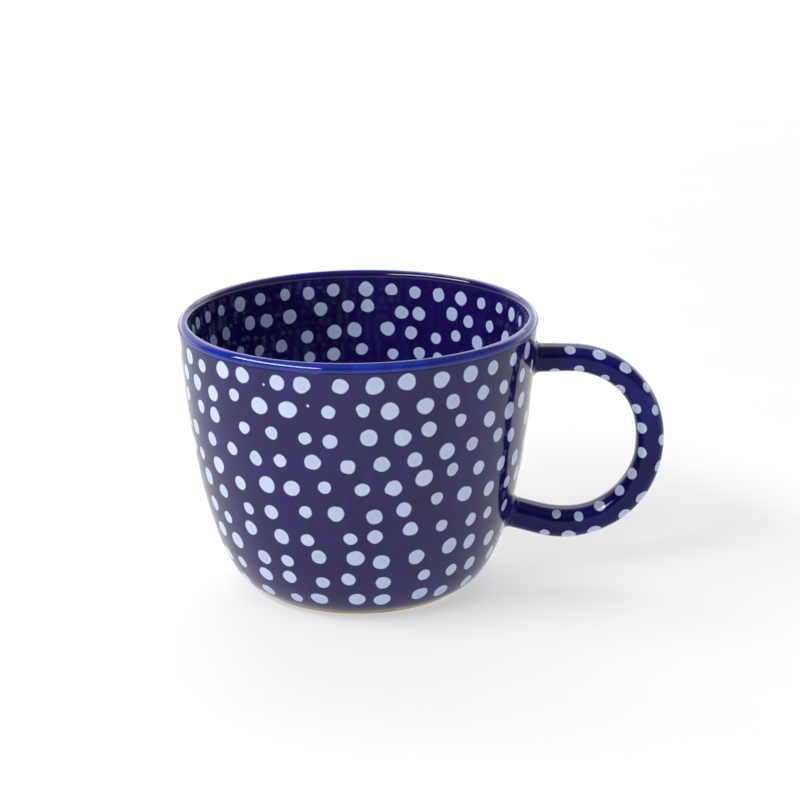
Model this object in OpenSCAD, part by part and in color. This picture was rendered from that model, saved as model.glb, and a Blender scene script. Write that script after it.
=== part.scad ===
// A squat stoneware mug, formed in pale clay, with a round loop handle.
// It is dipped in cobalt glaze and painted by hand with small pale dots, inside and out.
// The origin is on the cup's axis, at the plane it stands on. +X points to the handle.

/* [Cup] */
// Outer radius of the lip
rim_radius = 48; // [46:0.5:52]
// Height from the table to the top of the lip
cup_height = 75; // [72:0.5:84]
// Outer radius of the foot ring
foot_radius = 28.2; // [25:0.2:31]
// Thickness of the finished wall, clay and both glazes
wall = 3.4; // [3:0.1:4.5]
// Angle at which the lower corner leaves the foot, above level
corner_angle = 7; // [0:1:14]
// Pull of the lower corner's curve, a larger one is a fuller corner
corner_pull = 11; // [9:0.5:13]
// Angle of the wall below the lip, above level
wall_angle = 87; // [85:0.5:89]
// Pull of the wall's curve, a larger one stays straight for longer
wall_pull = 37.8; // [32:0.2:42]

/* [Lip and foot] */
// Radius of the round lip
lip_radius = 1.5; // [1.3:0.05:1.6]
// Height of the plain blue band, from the top of the lip
band_height = 2.2; // [2.1:0.1:4]
// How far the band stands proud of the wall
band_step = 0.25; // [0.15:0.05:0.4]
// Height of the bare foot ring
foot_height = 1.2; // [0.8:0.1:1.8]
// Width of the bare foot ring
foot_width = 4.6; // [3:0.1:7]

/* [Handle] */
// Height of the middle of the handle's upper arm
arm_height = 62.2; // [60:0.2:64]
// Height of the middle of the handle's lowest point
sag_height = 15.3; // [14:0.1:17]
// Distance from the axis to the middle of the handle's grip
handle_reach = 78.7; // [76:0.1:84]
// Thickness of the handle, seen from the side
handle_thick = 7.3; // [6.5:0.1:8.5]
// Width of the handle, seen from its end
handle_wide = 9; // [8.6:0.1:11]
// Height of the middle of the handle's grip, between its two bends
grip_height = 39.3; // [38:0.1:41]
// How far the slip fillet spreads onto the wall around the handle's roots
fillet = 2.2; // [1.4:0.1:2.6]

/* [Glaze and dots] */
// Thickness of the glaze
glaze = 0.4; // [0.3:0.05:0.5]
// Thickness of a painted dot
dot_height = 0.12; // [0.08:0.01:0.2]
// Mean diameter of the dots on the outside
outer_dot = 4.4; // [3.6:0.1:4.8]
// Mean diameter of the dots on the inside
inner_dot = 3.9; // [3.2:0.1:4.2]
// Mean diameter of the dots on the handle
handle_dot_size = 3.3; // [2.8:0.1:3.5]
// Which scatter of the hand-painted dots to use
scatter = 7; // [1:1:40]

/* [Hidden] */
$fn = 72;

COBALT = "#17165e";
BRIGHT_COBALT = "#1d2fa6";
PALE_BLUE = "#bccdea";
CLAY = "#d9c4a4";

// Steps that the wall's curve and the lip's half circle are drawn in
WALL_STEPS = 26;
LIP_STEPS = 12;
// How far round the lip the band reaches, in steps from the outside
BAND_STEPS = 8;
// Gaps that keep a flat dot clear of the curved glaze under it
DOT_LIFT = 0.05;
HANDLE_DOT_LIFT = 0.12;
// Spread of the dots' diameters, and of their places as shares of the spacing
SIZE_SPREAD = 0.17;
AROUND_SPREAD = 0.19;
SWAY_SPREAD = 0.14;
// Height of the slow waves that keep the rows of dots from looking straight
ROW_WAVE = 1.4;
// Distance between neighbouring dots in a row, and between rows
OUTER_PITCH = 8.8;
OUTER_ROW = 7.25;
INNER_PITCH = 7.6;
INNER_ROW = 6.4;
FLOOR_ROW = 6.8;
HANDLE_PITCH = 7.2;
DOTS_AROUND_HANDLE = 4;
// Small splashes of the painter's brush: angle, distance below the band and diameter
SPLASHES = [[-120.5, 4.7, 0.7], [-106, 9, 0.8], [69, 13.5, 0.6]];
// Length of the short straight grip between the two bends
GRIP_LENGTH = 2;
// How much thicker the bends are than the straight stretches, which run on into them
BEND_SWELL = 0.02;
RUN_ON = 0.3;
// How far the lower bend turns past its lowest point, to rise into the wall
ROOT_TURN = 16;
// Length of a slip joint between the wall and the handle, and how deep it starts in the wall
JOINT_LENGTH = 3;
JOINT_DEPTH = 2.2;

// --- The wall's side view, from the foot up to the band ---
band_base = cup_height - band_height;
lip_centre = [rim_radius - lip_radius, cup_height - lip_radius];
foot_top = [foot_radius, foot_height];
wall_top = [rim_radius - band_step, band_base];
foot_control = foot_top + corner_pull * [cos(corner_angle), sin(corner_angle)];
wall_control = wall_top - wall_pull * [cos(wall_angle), sin(wall_angle)];

function curve(t) =
    pow(1 - t, 3) * foot_top + 3 * pow(1 - t, 2) * t * foot_control
    + 3 * (1 - t) * t * t * wall_control + pow(t, 3) * wall_top;
function curve_slope(t) =
    pow(1 - t, 2) * (foot_control - foot_top)
    + 2 * (1 - t) * t * (wall_control - foot_control)
    + t * t * (wall_top - wall_control);
function curve_normal(t) =
    let (along = curve_slope(t) / norm(curve_slope(t))) [along[1], -along[0]];

// The wall's line at a depth below the glazed outside.
function wall_line(depth) = [
    for (i = [0:WALL_STEPS])
        let (t = i / WALL_STEPS)
        curve(t) - depth * curve_normal(t)
];
// Steps of the lip's half circle at a depth below the glaze, from the outside to the inside.
function lip_line(depth, first = 0, final = LIP_STEPS) = [
    for (i = [first:final])
        let (a = 180 * i / LIP_STEPS)
        lip_centre + (lip_radius - depth) * [cos(a), sin(a)]
];
function backwards(list) = [for (i = [len(list) - 1:-1:0]) list[i]];
function last(list) = list[len(list) - 1];
function on_axis(point) = [0, point[1]];

outside = wall_line(0);
clay_outside = wall_line(glaze);
clay_inside = wall_line(wall - glaze);
inside = wall_line(wall);

// --- The handle's centre line, in the plane of X and Z ---
grip_top = grip_height + GRIP_LENGTH / 2;
grip_base = grip_height - GRIP_LENGTH / 2;
upper_bend = arm_height - grip_top;
lower_bend = grip_base - sag_height;
upper_centre = [handle_reach - upper_bend, grip_top];
lower_centre = [handle_reach - lower_bend, grip_base];
root_heading = [-cos(ROOT_TURN), sin(ROOT_TURN)];
root_start = lower_centre - lower_bend * [sin(ROOT_TURN), cos(ROOT_TURN)];
half_flat = (handle_wide - handle_thick) / 2;

// Where the two ends of the centre line meet the glazed wall.
function wall_radius(z) = lookup(z, [for (p = outside) [p[1], p[0]]]);
upper_meeting = [wall_radius(arm_height), arm_height];
root_reach = (root_start[0] - wall_radius(root_start[1] + 2.4)) / cos(ROOT_TURN);
lower_meeting = root_start + root_reach * root_heading;
arm_length = upper_centre[0] - upper_meeting[0] - JOINT_LENGTH;
root_length = root_reach - JOINT_LENGTH;

// --- Cup ---
module mug_body() {
    ring_inside = foot_radius - foot_width;
    edge = 0.5;
    color(CLAY)
        rotate_extrude()
            polygon(concat(
                [[0, foot_height], [ring_inside, foot_height], [ring_inside + edge, 0]],
                [[foot_radius - edge, 0], [foot_radius, edge], foot_top],
                clay_outside,
                lip_line(glaze),
                backwards(clay_inside),
                [on_axis(clay_inside[0])]));
}

module outer_glaze() {
    color(COBALT)
        difference() {
            rotate_extrude()
                polygon(concat(outside, backwards(clay_outside)));
            upper_cone();
            lower_cone();
        }
}

module inner_glaze() {
    color(COBALT)
        rotate_extrude()
            polygon(concat(
                [on_axis(clay_inside[0])],
                clay_inside,
                backwards(lip_line(glaze, BAND_STEPS)),
                lip_line(0, BAND_STEPS),
                backwards(inside),
                [on_axis(inside[0])]));
}

module rim_band() {
    color(BRIGHT_COBALT)
        rotate_extrude()
            polygon(concat(
                [last(clay_outside), last(outside), [rim_radius, band_base + band_step]],
                lip_line(0, 0, BAND_STEPS),
                backwards(lip_line(glaze, 0, BAND_STEPS))));
}

module foot_recess_glaze() {
    clear_of_ring = 0.6;
    color(COBALT)
        translate([0, 0, foot_height - glaze])
            cylinder(r = foot_radius - foot_width - clear_of_ring, h = glaze);
}

// --- Handle ---
// The cup as a filled solid, out to a depth below its glazed outside.
module cup_solid(depth) {
    line = wall_line(depth);
    rotate_extrude()
        polygon(concat([on_axis(line[0])], line, [on_axis(last(line))]));
}

// The handle's section, swollen by a skin.
module oval(skin) {
    r = handle_thick / 2 + skin;
    for (side = [-1, 1])
        translate([0, side * half_flat])
            circle(r = r);
    square([2 * r, 2 * half_flat], center = true);
}

// Carries a section round one bend, in the plane of X and Z.
module along_bend(centre, radius, start, angle) {
    translate([centre[0], 0, centre[1]])
        rotate([90, 0, 0])
            rotate([0, 0, start])
                rotate_extrude(angle = angle)
                    translate([radius, 0])
                        children();
}

// Carries two sections along the whole loop, from one slip joint to the other.
// The first is the straight stretches' section and the second is the bends'.
// The straight stretches run on a little way into the bends.
module along_loop() {
    translate([upper_centre[0] - arm_length, 0, arm_height])
        rotate([0, 90, 0])
            linear_extrude(arm_length + RUN_ON)
                children(0);
    along_bend(upper_centre, upper_bend, 0, 90) children(1);
    translate([handle_reach, 0, grip_base - RUN_ON])
        linear_extrude(GRIP_LENGTH + 2 * RUN_ON)
            children(0);
    along_bend(lower_centre, lower_bend, -90 - ROOT_TURN, 90 + ROOT_TURN) children(1);
    translate([root_start[0], 0, root_start[1]])
        rotate([0, ROOT_TURN - 90, 0])
            translate([0, 0, -RUN_ON])
                linear_extrude(root_length + RUN_ON)
                    children(0);
}

// The handle's loop as one solid, swollen by a skin.
module loop_solid(skin) {
    along_loop() {
        oval(skin);
        oval(skin + BEND_SWELL);
    }
}

module handle() {
    color(CLAY)
        loop_solid(-glaze);
}

module handle_glaze() {
    color(COBALT)
        difference() {
            loop_solid(0);
            loop_solid(-glaze);
        }
}

// A cone with the handle's oval section, wide at the wall and thin where the handle starts.
module joint_cone() {
    wide_end = handle_thick / 2 + fillet;
    thin_end = handle_thick / 2;
    height = JOINT_DEPTH + JOINT_LENGTH;
    for (side = [-1, 1])
        translate([0, side * half_flat, 0])
            cylinder(r1 = wide_end, r2 = thin_end, h = height);
    rotate([90, 0, 0])
        linear_extrude(2 * half_flat, center = true)
            polygon([[-wide_end, 0], [wide_end, 0], [thin_end, height], [-thin_end, height]]);
}

module upper_cone() {
    translate([upper_meeting[0] - JOINT_DEPTH, 0, upper_meeting[1]])
        rotate([0, 90, 0])
            joint_cone();
}

module lower_cone() {
    start = lower_meeting + JOINT_DEPTH * root_heading;
    translate([start[0], 0, start[1]])
        rotate([0, 90 + ROOT_TURN, 0])
            joint_cone();
}

module upper_handle_joint() {
    color(COBALT)
        difference() {
            upper_cone();
            cup_solid(glaze);
        }
}

module lower_handle_joint() {
    color(COBALT)
        difference() {
            lower_cone();
            cup_solid(glaze);
        }
}

// --- Painted dots ---
// Running length from a line's first point to each of its points.
function running_length(line) = [
    for (i = 0, s = 0; i < len(line);
         s = s + norm(line[min(i + 1, len(line) - 1)] - line[i]), i = i + 1) s
];
// The line as two lookup tables, of radius and of height by running length.
function line_tables(line) =
    let (s = running_length(line))
    [for (axis = [0, 1]) [for (i = [0:len(line) - 1]) [s[i], line[i][axis]]]];
function place(tables, s) = [lookup(s, tables[0]), lookup(s, tables[1])];
function heading(tables, s) =
    let (d = place(tables, s + 2) - place(tables, s - 2)) atan2(d[1], d[0]);
// How much the line turns, as one over its radius.
function curvature(tables, s) =
    abs(heading(tables, s + 2) - heading(tables, s - 2)) * PI / 180 / 4;

// Whether a point on the outside is far enough from both roots of the handle.
function clear_of_roots(angle, point) =
    let (
        side = point[0] * sin(angle),
        room = handle_wide / 2 + 1 + outer_dot / 2,
        roots = [upper_meeting[1], lower_meeting[1]]
    )
    cos(angle) < 0 || min([for (z = roots) norm([side, point[1] - z])]) > room;

// One flat dot on a wall, facing away from it.
module wall_dot(angle, point, facing, diameter, lift) {
    rotate([0, 0, angle])
        translate([point[0], 0, point[1]])
            rotate([0, 90 - facing, 0])
                translate([0, 0, lift])
                    cylinder(d = diameter, h = dot_height);
}

function dot_size(mean, chance) = mean * (1 + SIZE_SPREAD * chance);

// Rows of dots down a wall, each shaken a little in place and size.
// The side is 1 on the outside of the cup and -1 on the inside.
module dot_rows(tables, side, top, bottom, row_pitch, pitch, mean, seed) {
    rows = floor((bottom - top) / row_pitch);
    for (row = [0:rows]) {
        row_radius = place(tables, top + row * row_pitch)[0];
        count = round(2 * PI * row_radius / pitch);
        sway_room = ROW_WAVE * sin(180 * row / rows);
        shake = rands(-1, 1, 3 * count, seed + row);
        for (k = [0:count - 1]) {
            sway = row == 0 ? abs(shake[3 * k + 1]) : shake[3 * k + 1];
            angle = 360 * (k + row / 2 + AROUND_SPREAD * shake[3 * k]) / count;
            wave = sway_room * (sin(3 * angle + 15 * row) + 0.7 * sin(7 * angle - 12 * row));
            s = top + (row + SWAY_SPREAD * sway) * row_pitch + wave;
            point = place(tables, s);
            diameter = dot_size(mean, shake[3 * k + 2]);
            hollow = max(curvature(tables, s), 1 / point[0]);
            sag = side > 0 ? 0 : diameter * diameter / 8 * hollow;
            if (side < 0 || clear_of_roots(angle, point))
                wall_dot(angle, point, heading(tables, s) + 90 * side, diameter, DOT_LIFT + sag);
        }
    }
}

module outer_dots() {
    tables = line_tables(backwards(outside));
    first_row = 0.7 + outer_dot / 2;
    last_row = last(tables[0])[0] - 7;
    color(PALE_BLUE) {
        dot_rows(tables, 1, first_row, last_row, OUTER_ROW, OUTER_PITCH, outer_dot, scatter);
        for (splash = SPLASHES)
            wall_dot(splash[0], place(tables, splash[1]), heading(tables, splash[1]) + 90,
                splash[2], DOT_LIFT);
    }
}

module inner_dots() {
    tables = line_tables(backwards(inside));
    first_row = 0.9 + inner_dot / 2;
    last_row = last(tables[0])[0] - 6;
    color(PALE_BLUE)
        dot_rows(tables, -1, first_row, last_row, INNER_ROW, INNER_PITCH, inner_dot, scatter + 100);
}

module floor_dots() {
    rings = floor((inside[0][0] - 4) / FLOOR_ROW);
    color(PALE_BLUE)
        for (ring = [0:rings]) {
            count = max(1, 6 * ring);
            shake = rands(-1, 1, 3 * count, scatter + 200 + ring);
            for (k = [0:count - 1]) {
                x = ring * FLOOR_ROW + 0.8 * shake[3 * k];
                y = 0.8 * shake[3 * k + 1];
                rotate([0, 0, 360 * (k + ring / 2) / count])
                    translate([x, y, inside[0][1]])
                        cylinder(d = dot_size(inner_dot, shake[3 * k + 2]), h = dot_height);
            }
        }
}

// A point on the handle's centre line and its heading, by length from the upper bend's start.
function on_bend(centre, radius, angle) =
    [centre + radius * [cos(angle), sin(angle)], angle - 90];
function loop_place(s) =
    let (
        past_bend = s - upper_bend * PI / 2,
        past_grip = past_bend - GRIP_LENGTH
    )
    s < 0 ? [upper_centre + [s, upper_bend], 0]
    : past_bend < 0 ? on_bend(upper_centre, upper_bend, 90 - s / upper_bend * 180 / PI)
    : past_grip < 0 ? [[handle_reach, grip_top - past_bend], -90]
    : on_bend(lower_centre, lower_bend, -past_grip / lower_bend * 180 / PI);

// One flat dot on the handle, at an angle around its section.
module handle_dot(spot, around, diameter) {
    translate([spot[0][0], 0, spot[0][1]])
        rotate([0, -spot[1], 0])
            translate([0, -sign(sin(around)) * half_flat, 0])
                rotate([around, 0, 0])
                    translate([0, 0, handle_thick / 2 + HANDLE_DOT_LIFT])
                        cylinder(d = diameter, h = dot_height);
}

module handle_dots() {
    first_station = -0.5;
    stations = 12;
    color(PALE_BLUE)
        for (i = [0:stations - 1]) {
            shake = rands(-1, 1, 3 * DOTS_AROUND_HANDLE, scatter + 300 + i);
            for (k = [0:DOTS_AROUND_HANDLE - 1]) {
                s = first_station + (i - (k % 2) / 2) * HANDLE_PITCH + 1.1 * shake[3 * k];
                around = 360 * (k + 0.5) / DOTS_AROUND_HANDLE + 12 * shake[3 * k + 1];
                handle_dot(loop_place(s), around, dot_size(handle_dot_size, shake[3 * k + 2]));
            }
        }
}

mug_body();
handle();
upper_handle_joint();
lower_handle_joint();
outer_glaze();
inner_glaze();
rim_band();
handle_glaze();
foot_recess_glaze();
outer_dots();
inner_dots();
floor_dots();
handle_dots();
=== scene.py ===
"""A squat stoneware mug in cobalt glaze, painted by hand with small pale dots inside and out.

Lengths are in millimetres until a mesh is made, and in metres in the studio. The cup's axis is Z and the
handle points to +X.
"""

import math

import bmesh
import bpy
import numpy as np
from mathutils import Matrix, Vector


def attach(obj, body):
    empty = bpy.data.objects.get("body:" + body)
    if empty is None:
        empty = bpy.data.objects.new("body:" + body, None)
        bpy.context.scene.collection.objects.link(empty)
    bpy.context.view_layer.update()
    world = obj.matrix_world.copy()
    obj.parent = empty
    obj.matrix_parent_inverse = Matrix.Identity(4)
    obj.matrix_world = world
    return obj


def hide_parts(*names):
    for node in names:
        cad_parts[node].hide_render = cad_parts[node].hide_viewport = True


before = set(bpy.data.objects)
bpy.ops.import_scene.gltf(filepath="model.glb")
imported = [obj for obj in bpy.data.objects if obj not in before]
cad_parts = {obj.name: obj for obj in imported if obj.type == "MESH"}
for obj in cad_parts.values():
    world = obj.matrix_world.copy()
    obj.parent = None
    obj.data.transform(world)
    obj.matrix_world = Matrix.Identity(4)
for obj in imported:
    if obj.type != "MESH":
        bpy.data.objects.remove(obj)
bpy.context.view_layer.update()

METRES = 0.001

# The cup, with the sizes of the CAD model
RIM_RADIUS = 48.0
CUP_HEIGHT = 75.0
FOOT_RADIUS = 28.2
FOOT_HEIGHT = 1.2
FOOT_WIDTH = 4.6
WALL = 3.4
CORNER_ANGLE = 7.0
CORNER_PULL = 11.0
WALL_ANGLE = 87.0
WALL_PULL = 37.8
LIP_RADIUS = 1.5
BAND_HEIGHT = 2.2
BAND_STEP = 0.25
# How far round the lip the band reaches, in degrees from its outer side
BAND_TURN = 120
# How flat the lip's outer shoulder is worn, 1 for a true round
SHOULDER = 1.3
GLAZE = 0.4
# Gap between a glaze shell and the clay under it
CLAY_GAP = 0.02

# The handle's centre line and its oval section
ARM_HEIGHT = 62.2
SAG_HEIGHT = 15.3
HANDLE_REACH = 78.7
GRIP_HEIGHT = 39.3
GRIP_LENGTH = 2.0
ROOT_TURN = 16.0
HANDLE_THICK = 7.3
HANDLE_WIDE = 9.0
# Distance from the axis at which the handle's upper arm starts, and at which its root ends, inside the wall
ARM_START = 44.5
ROOT_END = 37.0
# How much thicker the handle is at its lowest point, and the shares of its length between which it swells
SAG_SWELL = 0.9
SWELL_START = 0.35
SWELL_END = 0.7
# How square the handle's section is, 2 for an ellipse
SQUARENESS = 2.25
# Mean radius of the handle's section, which turns a distance around it into a turn
HANDLE_RADIUS = 4.0
# How far the slip fillets spread, over the wall and along the handle
FILLET = 2.1
# How strongly a fillet's curve is drawn into its corner, 1 for a parabola
FILLET_PULL = 0.8

# Height from which the inside leans out to the lip
LEAN_START = 58.0
# How far the bends between the floor and the wall, and along the handle, are eased
FLOOR_EASE = 2.2
HANDLE_EASE = 2.0

# How much of a CAD disc its painted dot covers
DOT_SHARE = 0.96
# A dot's rings as shares of its outline, and how high each lies over the glaze
DOT_RINGS = np.array([0.0, 0.3, 0.55, 0.75, 0.88, 0.95, 1.0, 1.03])
DOT_LIFTS = np.array([0.05, 0.05, 0.048, 0.045, 0.04, 0.03, 0.012, -0.04])
# Waves around a dot's outline, and how strong each is as a share of the radius
DOT_WAVES = ((2, 0.032), (3, 0.022), (4, 0.014), (5, 0.01), (7, 0.006))

# Points around the cup, around the handle, along the handle, across a fillet and around a dot
TURNS = 288
SECTION_POINTS = 64
HANDLE_ROWS = 260
FILLET_ROWS = 14
DOT_POINTS = 22


# --- Lines ---

def polar(length, degrees):
    """A plane vector of that length and direction."""
    return length * np.array([math.cos(math.radians(degrees)), math.sin(math.radians(degrees))])


def arc(centre, radius, start, end, step=0.4):
    """Points along a circle, with both angles in degrees."""
    count = max(3, int(abs(math.radians(end - start)) * radius / step) + 1)
    return [np.array(centre) + polar(radius, a) for a in np.linspace(start, end, count)]


def rounded(points, passes=3):
    """An open line with its corners cut off, so that they turn round."""
    points = np.asarray(points, float)
    for _ in range(passes):
        cut = np.empty((2 * len(points), 2))
        cut[0], cut[-1] = points[0], points[-1]
        cut[1:-1:2] = 0.75 * points[:-1] + 0.25 * points[1:]
        cut[2:-1:2] = 0.25 * points[:-1] + 0.75 * points[1:]
        points = cut
    return points


def evenly(points, step):
    """The same line with points at even distances."""
    points = np.asarray(points, float)
    length = np.concatenate([[0], np.cumsum(np.linalg.norm(np.diff(points, axis=0), axis=1))])
    at = np.linspace(0, length[-1], max(4, int(length[-1] / step) + 1))
    return np.stack([np.interp(at, length, points[:, k]) for k in (0, 1)], -1)


def softened(points, spread, step=0.4):
    """The same line with its bends eased over a distance, and both ends kept in place."""
    points = evenly(points, step)
    reach = int(3 * spread / step)
    weights = np.exp(-0.5 * (np.arange(-reach, reach + 1) * step / spread) ** 2)
    before = 2 * points[0] - points[reach:0:-1]
    after = 2 * points[-1] - points[-2:-reach - 2:-1]
    padded = np.concatenate([before, points, after])
    return np.stack([np.convolve(padded[:, k], weights / weights.sum(), "valid") for k in (0, 1)], -1)


class Line:
    """A line of plane points that can be asked for a point, heading or side at any running length."""

    def __init__(self, points):
        self.points = np.asarray(points, float)
        steps = np.linalg.norm(np.diff(self.points, axis=0), axis=1)
        self.lengths = np.concatenate([[0], np.cumsum(steps)])
        self.total = self.lengths[-1]
        headings = np.gradient(self.points, self.lengths, axis=0)
        self.headings = headings / np.linalg.norm(headings, axis=1)[:, None]

    def _read(self, table, s):
        """A table's rows at any running length, between the rows that it has."""
        return np.stack([np.interp(s, self.lengths, table[:, k]) for k in (0, 1)], -1)

    def at(self, s):
        """Points, going straight on beyond both ends."""
        over = np.asarray(s) - np.clip(s, 0, self.total)
        return self._read(self.points, s) + over[..., None] * self.heading(s)

    def heading(self, s):
        """The direction in which the line runs on."""
        h = self._read(self.headings, s)
        return h / np.linalg.norm(h, axis=-1, keepdims=True)

    def right(self, s):
        """The direction to the right of the line's heading."""
        h = self.heading(s)
        return np.stack([h[..., 1], -h[..., 0]], -1)

    def nearest(self, points):
        """Running length of the line's point that is nearest to each given one."""
        gaps = np.linalg.norm(self.points[None] - np.asarray(points)[:, None], axis=2)
        return self.lengths[gaps.argmin(1)]

    def beside(self, depth):
        """The line's points moved to its left by a depth."""
        return self.points - depth * self.right(self.lengths)


def wall_points():
    """The glazed outside of the wall from the foot to the band: one curve with four control points."""
    foot_top = np.array([FOOT_RADIUS, FOOT_HEIGHT])
    wall_top = np.array([RIM_RADIUS - BAND_STEP, CUP_HEIGHT - BAND_HEIGHT])
    foot_control = foot_top + polar(CORNER_PULL, CORNER_ANGLE)
    wall_control = wall_top - polar(WALL_PULL, WALL_ANGLE)
    t = np.linspace(0, 1, 240)[:, None]
    return ((1 - t) ** 3 * foot_top + 3 * (1 - t) ** 2 * t * foot_control
            + 3 * (1 - t) * t ** 2 * wall_control + t ** 3 * wall_top)


OUTSIDE = Line(evenly(wall_points(), 0.5))
LIP_CENTRE = np.array([RIM_RADIUS - LIP_RADIUS, CUP_HEIGHT - LIP_RADIUS])


def inside_line():
    """The glazed inside, from the middle of the floor to the lip, with an eased corner.

    The wall thins a little towards the lip, so that it runs straight into the lip's round.
    """
    wall = OUTSIDE.beside(WALL)
    wall = np.concatenate([wall, [wall[-1] + polar(LIP_CENTRE[1] - 0.1 - wall[-1, 1], WALL_ANGLE)]])
    lean = np.clip((wall[:, 1] - LEAN_START) / (wall[-1, 1] - LEAN_START), 0, 1) ** 2
    wall[:, 0] += lean * (RIM_RADIUS - 2 * LIP_RADIUS - wall[-1, 0])
    return Line(softened(np.concatenate([[[0, wall[0][1]]], wall]), FLOOR_EASE))


INSIDE = inside_line()


# --- The thrown surface ---

def thrown(angle, point):
    """A plane point turned around the axis. A hand leaves it a little out of round, but for the foot."""
    radius, height = point[..., 0], point[..., 1]
    from_axis = np.clip(radius / 40, 0, 1)
    from_foot = np.clip(height / 12, 0, 1)
    oval = 0.13 * np.sin(2 * angle + 0.7) + 0.06 * np.sin(3 * angle + 2.0) + 0.03 * np.sin(5 * angle)
    rings = 0.012 * np.sin(height / 0.83 + angle) + 0.02 * np.sin(height / 2.9 - angle)
    radius = radius + from_axis * (oval + rings) * from_foot
    level = 0.16 * np.sin(angle + 2.4) + 0.07 * np.sin(3 * angle)
    height = height + level * np.clip(height / CUP_HEIGHT, 0, 1) ** 2
    return np.stack([radius * np.cos(angle), radius * np.sin(angle), height], -1)


def radius_and_height(points):
    """Points in space as plane points, for comparing them with a turned line."""
    return np.stack([np.hypot(points[:, 0], points[:, 1]), points[:, 2]], -1)


# --- Meshes ---

def new_piece(name, points, faces, material, stands_for):
    """A smooth mesh from points in millimetres, that rides on the mug and stands for CAD nodes."""
    mesh = bpy.data.meshes.new(name)
    mesh.from_pydata((np.asarray(points).reshape(-1, 3) * METRES).tolist(), [], faces)
    mesh.polygons.foreach_set("use_smooth", [True] * len(mesh.polygons))
    mesh.materials.append(material)
    mesh.update()
    piece = bpy.data.objects.new(name, mesh)
    bpy.context.scene.collection.objects.link(piece)
    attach(piece, "root")
    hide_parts(*stands_for)
    return piece


def grid_faces(rows, columns, close_rows):
    """Quads over a grid whose columns close on themselves, and whose rows may."""
    i = np.arange(rows if close_rows else rows - 1)[:, None]
    j = np.arange(columns)[None, :]
    here, across = i % rows * columns, (i + 1) % rows * columns
    after = (j + 1) % columns
    quads = np.stack([here + j, here + after, across + after, across + j], -1)
    return quads.reshape(-1, 4).tolist()


def lathe(name, line, material, stands_for, closed, shape=thrown):
    """Turns a line around the axis. An open line starts and ends on the axis."""
    line = np.asarray(line, float)
    if not closed:
        line[[0, -1], 0] = 0
        ends = line[[0, -1]]
        line = line[1:-1]
    angle = np.linspace(0, 2 * np.pi, TURNS, endpoint=False)
    points = shape(angle[None, :], line[:, None, :]).reshape(-1, 3)
    faces = grid_faces(len(line), TURNS, closed)
    if not closed:
        first_end, last_end = len(points), len(points) + 1
        last_row = (len(line) - 1) * TURNS
        pairs = [(k, (k + 1) % TURNS) for k in range(TURNS)]
        faces += [(first_end, b, a) for a, b in pairs]
        faces += [(last_end, last_row + a, last_row + b) for a, b in pairs]
        points = np.concatenate([points, shape(np.zeros(2), ends)])
    return new_piece(name, points, faces, material, stands_for)


# --- Materials ---

def set_range(node, low, high, to_low, to_high):
    """Sets the two ends of a Map Range node, and what they become."""
    for key, number in (("From Min", low), ("From Max", high), ("To Min", to_low), ("To Max", to_high)):
        node.inputs[key].default_value = number


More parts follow.
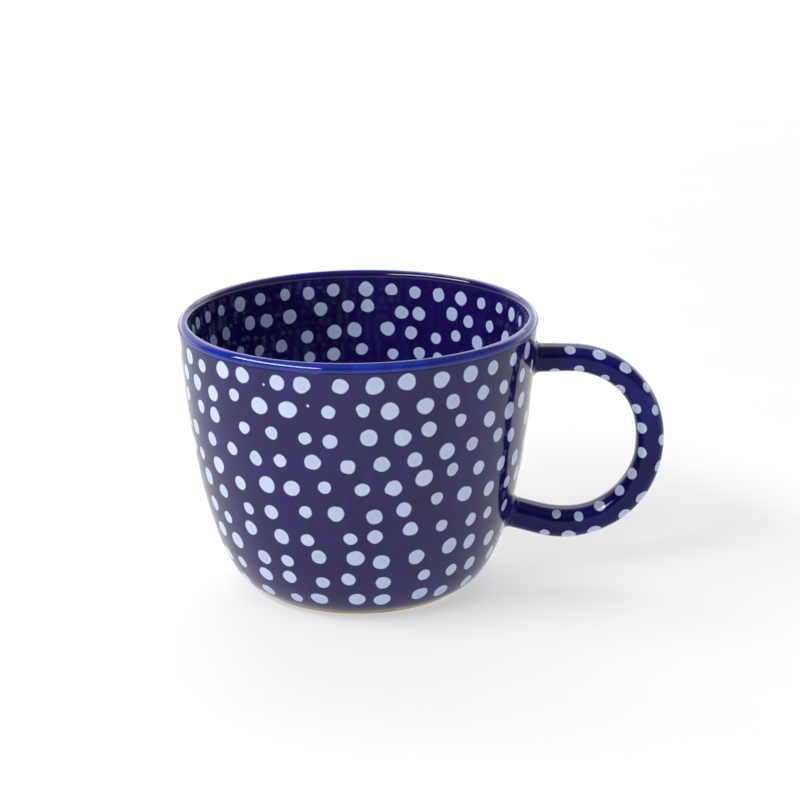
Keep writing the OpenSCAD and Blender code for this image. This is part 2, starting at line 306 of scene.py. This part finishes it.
class Nodes:
    """A short way to write a Principled material's node tree."""

    def __init__(self, name):
        self.material = bpy.data.materials.new(name)
        self.material.use_nodes = True
        self.tree = self.material.node_tree
        self.shader = self.tree.nodes["Principled BSDF"]
        self.place = self.add("ShaderNodeTexCoord").outputs["Object"]

    def add(self, kind, **settings):
        """A new node of a kind, with its settings."""
        node = self.tree.nodes.new(kind)
        for key, value in settings.items():
            setattr(node, key, value)
        return node

    def join(self, source, target):
        self.tree.links.new(source, target)

    def noise(self, size, detail=3.0, roughness=0.5, stretch=None):
        """Noise with features of a size in millimetres."""
        node = self.add("ShaderNodeTexNoise")
        node.inputs["Scale"].default_value = 1 / (size * METRES)
        node.inputs["Detail"].default_value = detail
        node.inputs["Roughness"].default_value = roughness
        self.join(self.stretched(stretch) if stretch else self.place, node.inputs["Vector"])
        return node.outputs["Fac"]

    def stretched(self, scale):
        """Places scaled by a factor for each axis, so that a texture is drawn out along the small ones."""
        node = self.add("ShaderNodeMapping")
        node.inputs["Scale"].default_value = scale
        self.join(self.place, node.inputs["Vector"])
        return node.outputs["Vector"]

    def specks(self, size, share):
        """Small scattered spots, 1 in a spot and 0 outside it."""
        cells = self.add("ShaderNodeTexVoronoi")
        cells.inputs["Scale"].default_value = 1 / (size * METRES)
        self.join(self.place, cells.inputs["Vector"])
        return self.span(cells.outputs["Distance"], share, share * 0.6, 0, 1)

    def attribute(self, name):
        """The number that a mesh stores for each point under a name."""
        node = self.add("ShaderNodeAttribute")
        node.attribute_name = name
        return node.outputs["Fac"]

    def span(self, value, low, high, to_low, to_high):
        """Maps a value's range onto another, and stops at its ends."""
        node = self.add("ShaderNodeMapRange")
        set_range(node, low, high, to_low, to_high)
        self.join(value, node.inputs["Value"])
        return node.outputs["Result"]

    def times(self, a, b):
        """The product of two values."""
        node = self.add("ShaderNodeMath", operation="MULTIPLY")
        self.join(a, node.inputs[0])
        self.join(b, node.inputs[1])
        return node.outputs["Value"]

    def mix(self, factor, a, b):
        """Mixes two colours, each a tuple or another node's output."""
        node = self.add("ShaderNodeMix", data_type="RGBA")
        self.join(factor, node.inputs["Factor"])
        for socket, colour in ((node.inputs["A"], a), (node.inputs["B"], b)):
            self.colour_in(socket, colour)
        return node.outputs["Result"]

    def colour_in(self, socket, colour):
        """Sets a socket to a colour, or joins another node's output to it."""
        if isinstance(colour, tuple):
            socket.default_value = (*colour, 1)
        else:
            self.join(colour, socket)

    def bump(self, height, distance, below=None):
        """A relief whose height is in millimetres, over another one."""
        node = self.add("ShaderNodeBump")
        node.inputs["Strength"].default_value = 1
        node.inputs["Distance"].default_value = distance * METRES
        self.join(height, node.inputs["Height"])
        if below is not None:
            self.join(below, node.inputs["Normal"])
        return node.outputs["Normal"]

    def finish(self, colour, roughness, normal, **constants):
        """The material, with constants for the shader's inputs whose names have _ for each space."""
        self.join(colour, self.shader.inputs["Base Color"])
        self.join(roughness, self.shader.inputs["Roughness"])
        self.join(normal, self.shader.inputs["Normal"])
        for name, value in constants.items():
            self.shader.inputs[name.replace("_", " ")].default_value = value
        return self.material


def glaze_material(name, deep, clear, thin, shine=0.5, rough_low=0.045, rough_high=0.1):
    """Glossy cobalt glaze: deep where it pools, clearer where it runs thin, with a faint orange peel."""
    n = Nodes(name)
    pools = n.span(n.noise(14, 3), 0.3, 0.7, 0, 1)
    streaks = n.span(n.noise(5, 2, stretch=(1, 1, 0.22)), 0.45, 0.75, 0, 1)
    colour = n.mix(pools, deep, clear)
    colour = n.mix(n.times(streaks, pools), colour, thin)
    colour = n.mix(n.specks(1.6, 0.1), colour, tuple(0.4 * c for c in deep))
    peel = n.bump(n.noise(1.3, 2), 0.006)
    waves = n.bump(n.noise(7, 1, stretch=(1, 1, 1.8)), 0.05, peel)
    roughness = n.span(n.noise(9, 3), 0.3, 0.7, rough_low, rough_high)
    return n.finish(colour, roughness, waves, IOR=1.5, Specular_IOR_Level=shine)


def paint_material(name, core, edge, sunk):
    """Pale blue paint under clear glaze: mottled in the middle, milky at its edge, sunk at its rim."""
    n = Nodes(name)
    mottle = n.span(n.noise(0.9, 3, 0.6), 0.32, 0.68, 0, 1)
    tint = n.attribute("tint")
    colour = n.mix(mottle, core, edge)
    colour = n.mix(n.span(tint, 0, 1, 0, 0.4), colour, tuple(0.72 * c for c in core))
    out = n.attribute("edge")
    colour = n.mix(n.span(out, 0.55, 0.85, 0, 0.55), colour, edge)
    colour = n.mix(n.span(out, 0.88, 1.0, 0, 0.85), colour, sunk)
    relief = n.bump(n.noise(0.7, 2), 0.006)
    waves = n.bump(n.noise(7, 1, stretch=(1, 1, 1.8)), 0.05, relief)
    roughness = n.span(n.noise(2, 2), 0.3, 0.7, 0.07, 0.16)
    return n.finish(colour, roughness, waves, IOR=1.5)


def clay_material():
    """Fired, unglazed stoneware: warm grit, dark iron specks and a dry surface."""
    n = Nodes("fired_clay")
    grit = n.span(n.noise(0.8, 4, 0.7), 0.3, 0.7, 0, 1)
    warm = n.span(n.noise(9, 3), 0.35, 0.65, 0, 1)
    colour = n.mix(warm, (0.50, 0.37, 0.24), (0.62, 0.49, 0.34))
    colour = n.mix(n.span(grit, 0, 1, 0, 0.5), colour, (0.72, 0.62, 0.48))
    colour = n.mix(n.specks(1.3, 0.17), colour, (0.12, 0.07, 0.04))
    rough = n.span(grit, 0, 1, 0.75, 0.95)
    relief = n.bump(n.noise(0.35, 3, 0.7), 0.05)
    return n.finish(colour, rough, relief, IOR=1.45)


COBALT = glaze_material(
    "cobalt_glaze", (0.0085, 0.0030, 0.062), (0.0110, 0.0040, 0.100), (0.014, 0.009, 0.15), shine=0.42)
# Painted shade: the handle and its slip joints get a copy of the cobalt glaze that is bluer and reflects
# about half as much, so that they look darker, as if they stood in shade
SHADED_HANDLE_COBALT = glaze_material(
    "shaded_handle_glaze", (0.0050, 0.0030, 0.070), (0.0060, 0.0050, 0.125), (0.009, 0.012, 0.18), shine=0.2)
BAND = glaze_material(
    "bright_cobalt_glaze", (0.003, 0.009, 0.17), (0.004, 0.016, 0.28), (0.010, 0.034, 0.40),
    shine=0.55, rough_low=0.02, rough_high=0.045)
OUTER_PAINT = paint_material("pale_blue_paint", (0.47, 0.56, 0.76), (0.56, 0.65, 0.86), (0.08, 0.10, 0.30))
INNER_PAINT = paint_material("soft_blue_paint", (0.44, 0.55, 0.80), (0.54, 0.65, 0.90), (0.07, 0.10, 0.30))
CLAY = clay_material()


# --- Cup ---

def lip_points(depth):
    """The lip's half circle from outside to inside, at a depth below its glaze."""
    return arc(LIP_CENTRE, LIP_RADIUS - depth, 0, 180, 0.15)


def make_clay_cup():
    """The bare clay under the glaze, whose foot ring shows."""
    depth = GLAZE + CLAY_GAP
    ring_inside = FOOT_RADIUS - FOOT_WIDTH
    recess = rounded([
        [0, FOOT_HEIGHT], [ring_inside * 0.5, FOOT_HEIGHT], [ring_inside - 0.5, FOOT_HEIGHT],
        [ring_inside + 0.1, FOOT_HEIGHT * 0.6], [ring_inside + 0.6, 0], [ring_inside + 2, 0],
        [FOOT_RADIUS - 0.6, 0], [FOOT_RADIUS - 0.05, 0.35], [FOOT_RADIUS, FOOT_HEIGHT],
    ])
    inside = INSIDE.beside(-depth)
    line = np.concatenate([
        recess, OUTSIDE.beside(depth)[::2], lip_points(depth), inside[::-2], [[0, inside[0][1]]],
    ])
    return lathe("clay_cup", line, CLAY, ["mug_body"], closed=False)


def dipped(angle, point):
    """The thrown surface with a lower glaze edge that bulges a little and wanders in and out."""
    wander = 0.16 * np.sin(7 * angle + 1) + 0.12 * np.sin(11 * angle) + 0.1 * np.sin(19 * angle + 2)
    low = np.clip(1 - (point[..., 1] - FOOT_HEIGHT) / 1.2, 0, 1)
    outward = low * (0.2 + wander)
    return thrown(angle, point + np.stack([outward, np.zeros_like(outward)], -1))


def make_outer_glaze():
    """The glaze on the outside of the wall, from the foot ring to the band."""
    shell = np.concatenate([OUTSIDE.points, OUTSIDE.beside(GLAZE)[::-2]])
    return lathe("outer_cobalt_glaze", shell, COBALT, ["outer_glaze"],
                 closed=True, shape=dipped)


def make_inner_glaze():
    """The glaze of the inside, which runs on over the lip to the edge of the band."""
    lip = arc(LIP_CENTRE, LIP_RADIUS, 180, BAND_TURN - 4, 0.15)
    skin = Line(softened(np.concatenate([INSIDE.points, lip]), 0.5))
    line = np.concatenate([skin.beside(-GLAZE)[::5], skin.points[::-1]])
    return lathe("inner_cobalt_glaze", line, COBALT, ["inner_glaze"], closed=False)


def make_lip_band():
    """The brighter band around the lip: a low roll with a crease under it."""
    base = CUP_HEIGHT - BAND_HEIGHT
    roll = rounded([
        [RIM_RADIUS - 0.6, base + 0.1], [RIM_RADIUS - BAND_STEP - 0.05, base - 0.2],
        [RIM_RADIUS - 0.02, base + 0.1], [RIM_RADIUS + 0.1, base + 0.6], [RIM_RADIUS, LIP_CENTRE[1]],
    ])
    turn = np.radians(np.linspace(0, 90, 24))
    shoulder = np.stack([np.cos(turn) ** SHOULDER, np.sin(turn) ** SHOULDER], -1)
    over = np.concatenate([
        LIP_CENTRE + (LIP_RADIUS + 0.02) * shoulder,
        arc(LIP_CENTRE, LIP_RADIUS + 0.02, 90, BAND_TURN, 0.12)[1:],
    ])
    edge = [LIP_CENTRE + polar(LIP_RADIUS - 0.12, BAND_TURN + 3)]
    under = arc(LIP_CENTRE, LIP_RADIUS - GLAZE, BAND_TURN + 3, 0, 0.3)
    shell = np.concatenate([roll, over[1:], edge, under])
    return lathe("lip_band", shell, BAND, ["rim_band"], closed=True)


def make_foot_glaze():
    """A thin pool of glaze in the recess under the cup, with a rounded edge."""
    edge = FOOT_RADIUS - FOOT_WIDTH - 0.9
    top = FOOT_HEIGHT + 0.01
    line = rounded([
        [0, top - 0.3], [edge - 3, top - 0.33], [edge - 0.3, top - 0.4],
        [edge + 0.3, top - 0.15], [edge, top], [0, top],
    ])
    return lathe("foot_recess_pool", line, COBALT, ["foot_recess_glaze"], closed=False)


# --- Handle ---

def handle_points():
    """The handle's centre line in X and Z, from inside the wall at the top to inside it at the root."""
    grip_top, grip_base = GRIP_HEIGHT + GRIP_LENGTH / 2, GRIP_HEIGHT - GRIP_LENGTH / 2
    upper_bend, lower_bend = ARM_HEIGHT - grip_top, grip_base - SAG_HEIGHT
    upper_centre = [HANDLE_REACH - upper_bend, grip_top]
    lower_centre = [HANDLE_REACH - lower_bend, grip_base]
    root_start = lower_centre + polar(lower_bend, -90 - ROOT_TURN)
    root_end = root_start + polar(root_start[0] - ROOT_END, 180 - ROOT_TURN)
    return np.concatenate([
        [[ARM_START, ARM_HEIGHT]], arc(upper_centre, upper_bend, 90, 0),
        arc(lower_centre, lower_bend, 0, -90 - ROOT_TURN), [root_end],
    ])


HANDLE_LINE = Line(softened(handle_points(), HANDLE_EASE))


def half_thick(s):
    """Half of the handle's thickness, which swells from its upper bend to its lowest point."""
    share = np.clip(np.asarray(s) / HANDLE_LINE.total, 0, 1)
    swell = np.clip((share - SWELL_START) / (SWELL_END - SWELL_START), 0, 1) ** 2
    return (HANDLE_THICK + SAG_SWELL * swell) / 2


def section(turn):
    """Thickness and width shares of the handle's oval at a turn in radians."""
    power = 2 / SQUARENESS
    c, s = np.cos(turn), np.sin(turn)
    return np.sign(c) * np.abs(c) ** power, np.sign(s) * np.abs(s) ** power


def handle_surface(s, turn, depth=0.0):
    """A point of the handle's skin, at a running length and a turn from the outer side of the loop."""
    out, wide = section(turn)
    uneven = 0.07 * np.sin(s / 7.0 + 1) + 0.05 * np.sin(s / 3.1 + 2 * turn)
    centre = HANDLE_LINE.at(s)
    left = -HANDLE_LINE.right(s)
    thick = (half_thick(s) + uneven - depth) * out
    y = (HANDLE_WIDE / 2 + 0.6 * uneven - depth) * wide
    return np.stack([centre[..., 0] + thick * left[..., 0], y, centre[..., 1] + thick * left[..., 1]], -1)


def sweep(name, depth, material, stands_for):
    """The handle as one closed tube, at a depth below its glazed skin."""
    s = np.linspace(0, HANDLE_LINE.total, HANDLE_ROWS)
    turn = np.linspace(0, 2 * np.pi, SECTION_POINTS, endpoint=False)
    points = handle_surface(s[:, None], turn[None, :], depth)
    faces = grid_faces(len(s), SECTION_POINTS, False)
    last = (len(s) - 1) * SECTION_POINTS
    faces.append(tuple(range(SECTION_POINTS))[::-1])
    faces.append(tuple(range(last, last + SECTION_POINTS)))
    return new_piece(name, points, faces, material, stands_for)


def wall_gap(points):
    """Distance of points in space from the outside of the wall, less than 0 within it."""
    flat = radius_and_height(points)
    s = OUTSIDE.nearest(flat)
    return ((flat - OUTSIDE.at(s)) * OUTSIDE.right(s)).sum(1)


def on_wall(points):
    """The nearest points of the wall's outside."""
    angle = np.arctan2(points[:, 1], points[:, 0])
    return thrown(angle, OUTSIDE.at(OUTSIDE.nearest(radius_and_height(points))))


def meeting(turn, s_from, s_to):
    """Where each line along the handle's skin passes through the wall, by halving."""
    free, sunk = np.full(len(turn), float(s_from)), np.full(len(turn), float(s_to))
    for _ in range(24):
        middle = (free + sunk) / 2
        outside = wall_gap(handle_surface(middle, turn)) > 0
        free, sunk = np.where(outside, middle, free), np.where(outside, sunk, middle)
    return free


def make_joint(name, s_free, s_sunk, stands_for):
    """A slip joint: a hollow fillet between the handle's skin and the wall, all the way around."""
    turn = np.linspace(0, 2 * np.pi, SECTION_POINTS, endpoint=False)
    s = meeting(turn, s_free, s_sunk)
    corner = handle_surface(s, turn)
    along = math.copysign(1, s_free - s_sunk)
    on_handle = handle_surface(s + along * FILLET, turn)
    centre = HANDLE_LINE.at(s)
    out = corner - np.stack([centre[:, 0], np.zeros_like(s), centre[:, 1]], -1)
    out /= np.linalg.norm(out, axis=1)[:, None]
    on_side = on_wall(corner + FILLET * out)
    # One row of points in the clay, behind the corner, closes the back of the fillet
    inward = corner - (on_side - corner + on_handle - corner) * 0.45
    t = np.linspace(0, 1, FILLET_ROWS)[:, None, None]
    by_handle, by_corner, by_side = (1 - t) ** 2, 2 * FILLET_PULL * t * (1 - t), t ** 2
    bend = by_handle * on_handle + by_corner * corner + by_side * on_side
    bend = bend / (by_handle + by_corner + by_side)
    points = np.concatenate([bend, inward[None]])
    faces = grid_faces(len(points), SECTION_POINTS, True)
    return new_piece(name, points, faces, SHADED_HANDLE_COBALT, stands_for)


# --- Dots ---

def discs(node):
    """Centre and radius, in millimetres, of each painted disc of a CAD node."""
    loose = bmesh.new()
    loose.from_mesh(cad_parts[node].data)
    bmesh.ops.remove_doubles(loose, verts=loose.verts, dist=1e-6)
    found, seen = [], set()
    for first in loose.verts:
        if first in seen:
            continue
        island, waiting = [], [first]
        seen.add(first)
        while waiting:
            vertex = waiting.pop()
            island.append(vertex.co)
            for edge in vertex.link_edges:
                other = edge.other_vert(vertex)
                if other not in seen:
                    seen.add(other)
                    waiting.append(other)
        points = np.array(island) / METRES
        centre = (points.min(0) + points.max(0)) / 2
        found.append((*centre, np.linalg.norm(points - centre, axis=1).max()))
    loose.free()
    found = np.array(sorted(found))
    return found[:, :3], found[:, 3]


class WallSide:
    """The outside of the wall or the inside of the cup, for dots to lie on."""

    def __init__(self, line, side):
        self.line, self.side = line, side

    def homes(self, centres):
        """Angle and running length of each dot's middle."""
        angle = np.arctan2(centres[:, 1], centres[:, 0])
        s = self.line.nearest(radius_and_height(centres))
        return angle[:, None], s[:, None]

    def point(self, homes, across, along):
        """Points at distances across and along the surface from each middle."""
        angle, s = homes
        radius = self.line.at(s)[..., 0]
        return thrown(angle + across / radius, self.line.at(s + along))


class Floor:
    """The floor of the cup, for dots to lie on."""

    side = 1

    def homes(self, centres):
        """X and Y of each dot's middle."""
        return centres[:, :1], centres[:, 1:2]

    def point(self, homes, across, along):
        x, y = homes[0] + across, homes[1] + along
        radius = np.hypot(x, y)
        height = np.interp(radius, INSIDE.points[:, 0], INSIDE.points[:, 1])
        return thrown(np.arctan2(y, x), np.stack([radius, height], -1))


class HandleSkin:
    """The skin of the handle, for dots to lie on."""

    side = 1

    def homes(self, centres):
        """Turn around the handle and running length of each dot's middle."""
        s = HANDLE_LINE.nearest(centres[:, [0, 2]])
        off = centres[:, [0, 2]] - HANDLE_LINE.at(s)
        out = -(off * HANDLE_LINE.right(s)).sum(1)
        turn = np.arctan2(centres[:, 1] / HANDLE_WIDE, out / HANDLE_THICK)
        return turn[:, None], s[:, None]

    def point(self, homes, across, along):
        turn, s = homes
        return handle_surface(s - along, turn + across / HANDLE_RADIUS)


def dot_offsets(radii, chance):
    """Distances across and along the surface of each dot's points from its middle, ring by ring."""
    count = len(radii)
    turn = np.linspace(0, 2 * np.pi, DOT_POINTS, endpoint=False)[None, :]
    outline = np.ones((count, DOT_POINTS))
    for waves, amount in DOT_WAVES:
        size = amount * chance.normal(size=(count, 1))
        outline += size * np.cos(waves * turn + chance.uniform(0, 6.3, (count, 1)))
    reach = DOT_SHARE * outline * radii[:, None]
    middle = np.zeros((count, 1))
    offsets = []
    for share in (np.cos(turn), np.sin(turn)):
        rings = DOT_RINGS[1:, None] * (reach * share)[:, None, :]
        offsets.append(np.concatenate([middle, rings.reshape(count, -1)], 1))
    return offsets


def dot_faces():
    """Faces of one dot whose points are its middle and then its rings."""
    fan = [(0, 1 + k, 1 + (k + 1) % DOT_POINTS) for k in range(DOT_POINTS)]
    quads = grid_faces(len(DOT_RINGS) - 1, DOT_POINTS, False)
    return fan + [(1 + a, 1 + d, 1 + c, 1 + b) for a, b, c, d in quads]


def make_dots(name, node, surface, material, seed):
    """Hand-painted dots: thin films with uneven outlines, that follow the surface they lie on."""
    centres, radii = discs(node)
    chance = np.random.default_rng(seed)
    across, along = dot_offsets(radii, chance)
    homes = surface.homes(centres)
    small = 0.05
    by_across = surface.point(homes, across + small, along) - surface.point(homes, across - small, along)
    by_along = surface.point(homes, across, along + small) - surface.point(homes, across, along - small)
    normals = np.cross(by_across, by_along) * surface.side
    normals /= np.linalg.norm(normals, axis=-1, keepdims=True)
    ring_of = np.concatenate([[0], np.repeat(np.arange(1, len(DOT_RINGS)), DOT_POINTS)])
    points = surface.point(homes, across, along) + DOT_LIFTS[ring_of][None, :, None] * normals
    each = len(ring_of)
    one_dot = [face[::surface.side] for face in dot_faces()]
    faces = [tuple(each * d + v for v in face) for d in range(len(radii)) for face in one_dot]
    piece = new_piece(name, points, faces, material, [node])
    add_values(piece, "edge", np.tile(DOT_RINGS[ring_of], len(radii)))
    add_values(piece, "tint", np.repeat(chance.uniform(0, 1, len(radii)), each))
    piece.data.normals_split_custom_set_from_vertices(normals.reshape(-1, 3).tolist())
    return piece


def add_values(piece, name, values):
    """Stores one number for each of a piece's points."""
    layer = piece.data.attributes.new(name, "FLOAT", "POINT")
    layer.data.foreach_set("value", np.asarray(values, np.float32))


def make_mug():
    make_clay_cup()
    make_outer_glaze()
    make_inner_glaze()
    make_lip_band()
    make_foot_glaze()
    sweep("handle_clay_core", GLAZE + CLAY_GAP, CLAY, ["handle"])
    sweep("handle_cobalt_glaze", 0, SHADED_HANDLE_COBALT, ["handle_glaze"])
    make_joint("upper_slip_joint", 14, 0, ["upper_handle_joint"])
    make_joint("lower_slip_joint", HANDLE_LINE.total - 9, HANDLE_LINE.total, ["lower_handle_joint"])
    make_dots("outer_painted_dots", "outer_dots", WallSide(OUTSIDE, 1), OUTER_PAINT, 11)
    make_dots("inner_painted_dots", "inner_dots", WallSide(INSIDE, -1), INNER_PAINT, 12)
    make_dots("floor_painted_dots", "floor_dots", Floor(), INNER_PAINT, 13)
    make_dots("handle_painted_dots", "handle_dots", HandleSkin(), OUTER_PAINT, 14)


# --- Studio ---

# Lengths are in metres from here on
FLOOR_HALF = 6.0
FLOOR_GLOW = 0.51

# Place, aim, size and power of each soft light
SOFTBOXES = {
    "key_softbox": ((-0.56, -0.32, 0.65), (0, 0, 0.04), (0.9, 0.17), 7.9),
    "far_softbox": ((0.1, 1.1, 0.9), (0.1, 0.9, 0), (1.6, 0.8), 7.0),
}

# The room's brightness is a sum of ramps: axis of the direction, the ramp's two ends and its value at each
ROOM_RAMPS = (
    # Bright behind the mug, and dim in front of it
    ("Y", 0.35, 0.7, 0.07, 1.3),
    # A little light from the handle's side
    ("X", 0.5, 0.95, 0.0, 0.3),
    # A little light from straight above
    ("Z", 0.6, 0.95, 0.0, 0.35),
    # A bright band along the horizon
    ("Z", 0.1, 0.22, 0.95, 0.0),
)

# The point the camera turns around, its distance from it, and its elevation and roll in degrees
CAMERA_TARGET = (0, 0, 0.04)
CAMERA_DISTANCE = 0.763
CAMERA_ELEVATION = 18.34
CAMERA_ROLL = -0.81
# How far to the right of the target and above it the camera aims
CAMERA_ASIDE = 0.01094
CAMERA_ABOVE = 0.01037
CAMERA_LENS = 126.8


def make_floor():
    """A plain pale floor, that glows a little so that shadows on it stay faint."""
    mesh = bpy.data.meshes.new("studio_floor")
    corners = [(x * FLOOR_HALF, y * FLOOR_HALF, 0) for x, y in ((-1, -1), (1, -1), (1, 1), (-1, 1))]
    mesh.from_pydata(corners, [], [(0, 1, 2, 3)])
    floor = bpy.data.objects.new("studio_floor", mesh)
    bpy.context.scene.collection.objects.link(floor)
    paper = Nodes("white_paper")
    tone = paper.mix(paper.noise(30, 2), (0.42, 0.42, 0.42), (0.44, 0.44, 0.44))
    grain = paper.bump(paper.noise(0.4, 2), 0.01)
    rough = paper.span(paper.noise(3), 0.3, 0.7, 0.85, 0.95)
    white_paper = paper.finish(
        tone, rough, grain, IOR=1.3, Emission_Color=(1, 1, 1, 1), Emission_Strength=FLOOR_GLOW)
    mesh.materials.append(white_paper)


def make_softbox(name, place, aim, size, power):
    """A white rectangular light that faces its aim."""
    data = bpy.data.lights.new(name, "AREA")
    data.shape = "RECTANGLE"
    data.size, data.size_y = size
    data.energy = power
    light = bpy.data.objects.new(name, data)
    light.location = place
    light.rotation_euler = (Vector(aim) - Vector(place)).to_track_quat("-Z", "Y").to_euler()
    bpy.context.scene.collection.objects.link(light)


def make_world():
    """A room that is bright behind the mug and along the horizon, and dim in front of the mug and above."""
    world = bpy.data.worlds.new("studio")
    bpy.context.scene.world = world
    world.use_nodes = True
    tree = world.node_tree
    background = tree.nodes["Background"]
    direction = tree.nodes.new("ShaderNodeTexCoord")
    split = tree.nodes.new("ShaderNodeSeparateXYZ")
    tree.links.new(direction.outputs["Generated"], split.inputs["Vector"])
    total = None
    for axis, *ends in ROOM_RAMPS:
        ramp = tree.nodes.new("ShaderNodeMapRange")
        ramp.interpolation_type = "SMOOTHSTEP"
        set_range(ramp, *ends)
        tree.links.new(split.outputs[axis], ramp.inputs["Value"])
        part = ramp.outputs["Result"]
        if total is not None:
            plus = tree.nodes.new("ShaderNodeMath")
            plus.operation = "ADD"
            tree.links.new(total, plus.inputs[0])
            tree.links.new(part, plus.inputs[1])
            part = plus.outputs["Value"]
        total = part
    tree.links.new(total, background.inputs["Strength"])
    background.inputs["Color"].default_value = (1, 1, 1, 1)


def make_camera():
    """The camera stands in front, a little above the cup, with the cup left of the picture's middle."""
    elevation, roll = math.radians(CAMERA_ELEVATION), math.radians(CAMERA_ROLL)
    target = Vector(CAMERA_TARGET)
    back = Vector((0, -math.cos(elevation), math.sin(elevation)))
    level = Vector((1, 0, 0))
    upright = back.cross(level)
    right = level * math.cos(roll) + upright * math.sin(roll)
    up = upright * math.cos(roll) - level * math.sin(roll)
    aim = target + CAMERA_ASIDE * right + CAMERA_ABOVE * up
    place = target + CAMERA_DISTANCE * back
    back = (place - aim).normalized()
    right = up.cross(back).normalized()
    up = back.cross(right)
    data = bpy.data.cameras.new("camera")
    data.sensor_width = 36
    data.lens = CAMERA_LENS
    camera = bpy.data.objects.new("camera", data)
    camera.matrix_world = Matrix.Translation(place) @ Matrix((right, up, back)).transposed().to_4x4()
    bpy.context.scene.collection.objects.link(camera)
    bpy.context.scene.camera = camera


def make_studio():
    make_floor()
    make_world()
    for name, settings in SOFTBOXES.items():
        make_softbox(name, *settings)
    make_camera()
    bpy.context.scene.view_settings.view_transform = "Standard"


make_mug()
make_studio()
